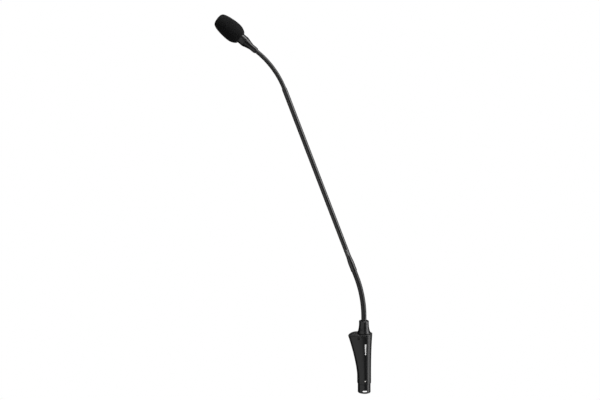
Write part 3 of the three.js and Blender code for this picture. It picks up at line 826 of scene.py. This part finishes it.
def skin_section(label, section, bodies, surface, before, after, pitch, material, slot, nodes):
    """A section's skin, cut into one piece for each joint and a rigid piece at either end.

    The bends turn further than the sways between them, so their pieces are the longer ones, by extra
    at each end as a share of the spacing. Each pitch of the length has the same rows of vertices.
    """
    extra = 0.24
    splits = [(i + 0.5 + (extra if i % 2 else -extra)) * section.spacing for i in range(9)]
    around, per_pitch = 48, 8

    def skin(name, s0, s1):
        rows = max(2, round((s1 - s0) / pitch * per_pitch))
        return sleeve(f"{label}_{name}", section, surface, s0, s1, rows, around, material)

    belongs(skin("start", before, splits[0]), bodies[0], slot, *nodes[:1])
    for i in range(8):
        s0, s1 = splits[i], splits[i + 1]
        part = skin(i + 1, s0, s1)
        section.at(s0)[0]
        section.at(s1)[0]
        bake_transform(part)
        if nodes[1 + i:2 + i] and i < 7:
            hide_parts(nodes[1 + i])
    belongs(skin("end", splits[8], after), bodies[8], slot, *nodes[8:9])


def chain(first, link, last):
    return [first, *(f"{link}_{i}" for i in range(1, 8)), last]


LOWER_BODIES = chain("base", "lower_link", "stem")
UPPER_BODIES = chain("stem", "upper_link", "head")
LOWER_WIRE = {"radius": 3.87 * MM, "pitch": 1.5 * MM, "depth": 0.05 * MM}
UPPER_WIRE = {"radius": 3.12 * MM, "pitch": 1.45 * MM, "depth": 0.1 * MM}
# Starts are over the plug's end, or along the stem for the upper sleeve; tails are past an arc's end.
LOWER_ENDS = {"start": 87.7 * MM, "tail": 17 * MM}
UPPER_ENDS = {"start": 312.4 * MM, "tail": 12 * MM}
CABLE_ENDS = {"start": 75.7 * MM, "tail": 40 * MM}


def gooseneck():
    """The wound sleeves, from inside the collar to the ferrule and from the tube to the head cone."""
    before = LOWER_ENDS["start"] - LOWER.start.z
    skin_section("lower_gooseneck", LOWER, LOWER_BODIES, wound(**LOWER_WIRE), before,
                 LOWER.length + LOWER_ENDS["tail"], LOWER_WIRE["pitch"], WIRE, "flex_black",
                 chain("lower_flex_base", "lower_flex_link", "lower_flex_top"))
    before = UPPER.step - (pivot("upper_bend_1") - STEM_START - UPPER_ENDS["start"] * STEM_AXIS).length
    skin_section("upper_gooseneck", UPPER, UPPER_BODIES, wound(**UPPER_WIRE), before,
                 UPPER.length + UPPER_ENDS["tail"], UPPER_WIRE["pitch"], WIRE, "flex_black",
                 chain("upper_flex_base", "upper_flex_link", "upper_flex_top"))


def audio_cable():
    """The cable inside the neck: it follows the arcs of both flexible sections and runs straight in the stem.
    """
    radius, pitch = 1.1 * MM, 12 * MM
    middle = (UPPER.at(0)[0] - LOWER.at(LOWER.length)[0]).length

    def plain(*_):
        return radius

    skin_section("lower_cable", LOWER, LOWER_BODIES, plain, CABLE_ENDS["start"] - LOWER.start.z,
                 LOWER.length + middle / 2, pitch, JACKET, "cable_jacket", ["mic_cable"])
    skin_section("upper_cable", UPPER, UPPER_BODIES, plain, -middle / 2,
                 UPPER.length + CABLE_ENDS["tail"], pitch, JACKET, "cable_jacket", [])


TUBE = {"radius": 3.7, "bore": 3.3, "start": 63.2, "end": 323.0}


def stem():
    """The rigid tube, and the ferrule that holds it to the lower flexible section."""
    tube_radius, bore, start, end = TUBE["radius"], TUBE["bore"], TUBE["start"], TUBE["end"]
    tube = lathe("stem_tube_skin", [
        (bore, start, 0.05), (tube_radius, start, 0.15), *((tube_radius, start + t) for t in (60, 130, 200)),
        (tube_radius, end, 0.3), (bore, end, 0.05),
    ], TUBE_COAT, ON_STEM, 96)
    belongs(tube, "stem", "black_metal", "stem_tube")
    low, shoulder, floor, mouth, radius = 40.3, 53.3, 48.3, 4.0, 4.45
    spigot, spigot_top, wire_hole = bore - 0.3, start + 9, 1.6
    fitting = lathe("stem_ferrule_skin", [
        (mouth, low, 0.05), (radius, low, 0.3), (radius, shoulder, 1.2),
        (tube_radius + 0.1, start - 1.4, 0.4), (tube_radius, start - 0.3, 0.1), (spigot, start - 0.3),
        (spigot, spigot_top, 0.1), (wire_hole, spigot_top), (wire_hole, floor), (mouth, floor),
    ], TUBE_COAT, ON_STEM, 96)
    belongs(fitting, "stem", "black_metal", "stem_ferrule")


def stem_patch():
    """A plain pale patch on the front of the tube."""
    low, high, width, radius = 65.2, 74.4, 2.2, TUBE["radius"]
    facing = math.radians(-80)

    def on_tube(across, z, skin):
        angle = facing + across / radius
        return Vector(((radius + skin) * math.cos(angle), (radius + skin) * math.sin(angle), z))

    patch = thin_patch("stem_patch", on_tube, 0, width, low, high - low, 5, 0.03, GREY_INK, ON_STEM)
    belongs(patch, "stem", "black_metal")


# ---- head ----
CONE = {"neck": 4.4, "neck_end": 9.0, "knee": 20.3, "radius": 7.25, "collar_end": 34.0}


def head_cone():
    """The cone from the neck's end to the capsule collar, with a rounded shoulder at its small end."""
    neck, neck_end, knee, radius = CONE["neck"], CONE["neck_end"], CONE["knee"], CONE["radius"]
    bore, rounding = 3.3, 3.2
    shoulder = [(bore + (neck - bore) * math.cos(a), rounding * (1 + math.sin(a)))
                for a in (math.radians(-88 + 88 * k / 7) for k in range(8))]
    flare = [(neck + (radius - neck) * share**1.2, neck_end + (knee - neck_end) * share)
             for share in (k / 10 for k in range(1, 10))]
    cone = lathe("head_cone_skin", [
        (bore, 0), *shoulder, (neck, neck_end), *flare, (radius, knee, 0.15), (radius - 1.4, knee, 0.1),
        (bore + 0.4, neck_end + 0.5), (bore, neck_end + 0.5),
    ], HEAD_COAT, ON_HEAD, 96)
    belongs(cone, "head", "black_metal", "head_cone")


def capsule_collar():
    """The collar over the cone, whose register reaches into the cone behind the joint line."""
    radius, low, high = CONE["radius"], CONE["knee"] + 0.3, CONE["collar_end"]
    bore, register, seat, ledge = 4.6, 5.3, radius - 1.2, low + 4.9
    collar_piece = lathe("capsule_collar_skin", [
        (bore, low - 2, 0.1), (register, low - 2, 0.2), (register, low), (radius, low, 0.2),
        (radius, high, 0.4), (seat, high, 0.05), (seat, ledge), (bore, ledge),
    ], HEAD_COAT, ON_HEAD, 96)
    belongs(collar_piece, "head", "black_metal", "capsule_collar")


def cartridge_can():
    tail, wall, radius, low, step, high = 5.75, 0.6, 6.75, 26.0, 34.3, 51.0
    can = lathe("cartridge_can_skin", [
        (tail - wall, low, 0.05), (tail, low, 0.1), (tail, step), (radius, step, 0.15), (radius, high, 0.12),
        (radius - wall, high, 0.1), (radius - wall, step + wall), (tail - wall, step + wall),
    ], HEAD_COAT, ON_HEAD, 96)
    middle = (CONE["collar_end"] + high) / 2 - 2
    slots = [
        extruded(f"slot_{i}", stadium(-2.6, 2.6, 0.7), 4, 9, HEAD_COAT,
                 ON_HEAD @ Matrix.Translation((0, 0, middle * MM)) @ Matrix.Rotation(i * math.pi / 3, 4, "Z")
                 @ Matrix.Rotation(math.pi / 2, 4, "Y"))
        for i in range(6)
    ]
    belongs(settled(bevelled(carved(can, *slots), 0.06)), "head", "black_metal", "cartridge_can")


def grille():
    radius, bore, low, high = 7.05, 4.9, 51.3, 53.3
    front = lathe("grille_ring_skin", [
        (bore, low, 0.1), (radius, low, 0.1), (radius, high, 0.6), (bore, high, 0.25),
    ], BRASS, ON_HEAD, 96)
    belongs(front, "head", "brass", "grille_ring")
    mesh = woven_disc("grille_mesh_wires", bore - 0.3, high - 0.95, pitch=0.42, wire=0.09)
    belongs(mesh, "head", "bright_steel", "grille_mesh")


def woven_disc(name, radius, height, pitch, wire):
    """Plain-woven wire cloth: wires each way that pass over and under each other, clipped to a disc."""
    sides = 5
    vertices, faces = [], []
    count = int(radius / pitch)
    for way in (0, 1):
        for i in range(-count, count + 1):
            offset = i * pitch
            reach = math.sqrt(max(radius**2 - offset**2, 0))
            steps = max(2, round(2 * reach / pitch * 4))
            first = len(vertices)
            for k in range(steps + 1):
                t = -reach + 2 * reach * k / steps
                rise = wire * math.cos(math.pi * (t / pitch + i + way))
                for side in range(sides):
                    a = 2 * math.pi * side / sides
                    across, up = offset + wire * math.cos(a), height + rise + wire * math.sin(a)
                    place = (t, across, up) if way == 0 else (across, t, up)
                    vertices.append(Vector(place) * MM)
            for k in range(steps):
                for side in range(sides):
                    a, b = first + k * sides + side, first + k * sides + (side + 1) % sides
                    faces.append([a, b, b + sides, a + sides])
            faces.append(list(range(first, first + sides))[::-1])
            faces.append(list(range(first + steps * sides, first + (steps + 1) * sides)))
    return piece(name, vertices, faces, NICKEL, ON_HEAD)


FOAM_FORM = {"start": 28.9, "widest": 45.3, "end": 70.2, "hem": 8.0, "radius": 13.85, "bore": 7.6,
             "bore_end": 54.8}


def foam_profile():
    """The windscreen's section, from the hem's inner edge up over the tip and back down the bore."""
    form = FOAM_FORM
    points = [(form["bore"], form["start"] + 0.5), (form["bore"] + 0.25, form["start"] + 0.08)]
    points.append((form["hem"] + 0.1, form["start"]))
    for k in range(1, 61):
        share = (k / 60) ** 1.6
        swell = (1 - (1 - share) ** 2.5) ** 0.77
        points.append((form["hem"] + (form["radius"] - form["hem"]) * swell,
                       form["start"] + (form["widest"] - form["start"]) * share))
    for k in range(1, 110):
        share = math.sin(math.pi / 2 * k / 110) ** 0.8
        taper = (1 - share**1.4) ** 0.18
        points.append((form["radius"] * taper, form["widest"] + (form["end"] - form["widest"]) * share))
    tip = points[-1][0]
    points += [(tip * (1 - k / 12) ** 0.9, form["end"]) for k in range(1, 13)]
    points += [(0, form["bore_end"]), (form["bore"] * 0.6, form["bore_end"])]
    points += [(form["bore"], form["bore_end"] - 1), (form["bore"], 45), (form["bore"], 36)]
    return points


def windscreen():
    """Open-cell foam: a turned form whose skin is pitted with cells and softly uneven."""
    foam = lathe("foam_windscreen_skin", evened(foam_profile(), 0.24), FOAM, segments=320)
    pit(foam)
    foam.data.transform(ON_HEAD)
    belongs(foam, "windscreen", "foam", "foam_windscreen")


def evened(points, spacing):
    """A closed outline's points, spread so that none is much further than a spacing from the next."""
    result = []
    for i, (r, z) in enumerate(points):
        r2, z2 = points[(i + 1) % len(points)]
        pieces = max(1, round(math.hypot(r2 - r, z2 - z) / spacing))
        result += [(r + (r2 - r) * k / pieces, z + (z2 - z) * k / pieces) for k in range(pieces)]
    return result


def pit(foam):
    """Moves the foam's skin out along its normals, less in its cells, with a slow unevenness."""
    mesh = foam.data
    normals = [vertex.normal.copy() for vertex in mesh.vertices]
    cell, depth, out = 0.4 * MM, 0.06 * MM, 0.2 * MM
    wave, unevenness = 6 * MM, 0.1 * MM
    for vertex, normal in zip(mesh.vertices, normals):
        place = vertex.co
        distances = noise.voronoi(place / cell)[0]
        pore = min(max((distances[1] - distances[0]) * 1.6, 0), 1)
        swell = noise.noise(place / wave) * unevenness
        vertex.co = place + normal * (swell + out - depth * pore)
    mesh.update()


# ---- CAD nodes that keep their shape ----
INNER = {
    "mute_switch": PLASTIC, "switch_board": BOARD, "status_led": PALE_PLASTIC, "preamp_board": BOARD,
    "capacitor_1": PLASTIC, "capacitor_2": PLASTIC, "amplifier_chip": PLASTIC, "gooseneck_nut": BRASS,
    "diaphragm_ring": BRASS, "diaphragm": GOLD, "backplate": BRASS, "backplate_holder": PALE_PLASTIC,
    "cartridge_board": BOARD, "cartridge_transistor": PLASTIC,
}


def inner_pieces():
    for name, material in INNER.items():
        node = frame["nodes"][name]
        node.data.materials.clear()
        node.data.materials.append(material)
        bevelled(node, 0.12)


# ---- studio ----
def emitter(name, colour, strength):
    paint = Paint(name, (0, 0, 0), 1.0)
    paint.set("Emission Color", (*colour, 1))
    paint.set("Emission Strength", strength)
    paint.set("Specular IOR Level", 0.0)
    return paint.material


def staged(made):
    """Part of the studio: seen by the camera, and leaving the lighting to the lamps."""
    made.visible_diffuse = False
    made.visible_glossy = False
    made.visible_shadow = False


def floor_and_backdrop():
    white = emitter("studio_white", (1, 1, 1), 1.0)
    reach, level = 12.0, -0.25
    corners = [(-reach, -reach, level), (reach, -reach, level), (reach, reach, level), (-reach, reach, level)]
    staged(piece("floor", corners, [[0, 1, 2, 3]], white))
    rings, around, radius = 12, 32, 11.0
    vertices = []
    for i in range(rings + 1):
        a = math.pi / 2 * i / rings
        for k in range(around):
            b = 2 * math.pi * k / around
            vertices.append((radius * math.cos(a) * math.cos(b), radius * math.cos(a) * math.sin(b),
                             level + radius * math.sin(a)))
    staged(piece("backdrop", vertices, ring_faces(rings + 1, around), white))


def softbox(name, azimuth, height, distance, width, tall, radiance, aim=Vector((-0.08, 0, 0.25))):
    """A rectangular lamp at an azimuth from the front, towards +X, and a height, that faces the object."""
    angle = math.radians(azimuth)
    place = Vector((math.sin(angle) * distance, -math.cos(angle) * distance, height))
    lamp = bpy.data.lights.new(name, "AREA")
    lamp.shape = "RECTANGLE"
    lamp.size = width
    lamp.size_y = tall
    lamp.energy = radiance * math.pi * width * tall
    made = linked(name, lamp)
    made.location = place
    made.rotation_euler = (place - aim).to_track_quat("Z", "Y").to_euler()
    made.visible_camera = False


def lights():
    softbox("right_low", 74, -0.7, 1.3, 0.95, 0.8, 2.1)
    softbox("right_middle", 74, -0.05, 1.3, 0.95, 0.5, 3.2)
    softbox("right_high", 68, 0.9, 1.3, 1.0, 1.4, 4.4)
    softbox("right_top", 62, 2.1, 1.0, 1.0, 1.1, 5.5)
    softbox("left_low", -48, -0.4, 1.3, 2.3, 1.4, 0.68)
    softbox("left_high", -48, 0.95, 1.3, 2.3, 1.3, 0.8)
    softbox("front_top", 0, 2.1, 0.6, 1.2, 0.8, 6.0)
    softbox("behind", 175, 0.75, 1.4, 2.2, 0.9, 0.22)
    world = bpy.data.worlds.new("studio")
    world.use_nodes = True
    world.node_tree.nodes["Background"].inputs["Color"].default_value = (1, 1, 1, 1)
    world.node_tree.nodes["Background"].inputs["Strength"].default_value = 0.02
    bpy.context.scene.world = world


def camera():
    """A camera about a metre in front and a little to the left, that looks slightly down at the stem."""
    place = Vector((-126.33, -996.6, 376.4)) * MM
    yaw, tilt, roll = math.radians(-1.971), math.radians(5.086), math.radians(-0.693)
    ahead = Vector((-math.sin(yaw) * math.cos(tilt), math.cos(yaw) * math.cos(tilt), -math.sin(tilt)))
    right = Vector((math.cos(yaw), math.sin(yaw), 0))
    above = right.cross(ahead)
    side = math.cos(roll) * right + math.sin(roll) * above
    top = math.cos(roll) * above - math.sin(roll) * right
    data = bpy.data.cameras.new("camera")
    data.lens = 41.54
    data.sensor_width = 36
    made = linked("camera", data)
    turn = Matrix((side, top, -ahead)).transposed().to_4x4()
    made.matrix_world = Matrix.Translation(place) @ turn
    bpy.context.scene.camera = made


camera()
lights()
floor_and_backdrop()
plug_shell()
plug_inside()
set_screw()
housing()
cover()
cover_screw(-1, "cover_screw_front")
cover_screw(1, "cover_screw_back")
button()
led_lens()
mark()
collar()
gooseneck()
audio_cable()
stem()
stem_patch()
head_cone()
capsule_collar()
cartridge_can()
grille()
windscreen()
inner_pieces()
bpy.context.scene.view_settings.view_transform = "Standard"
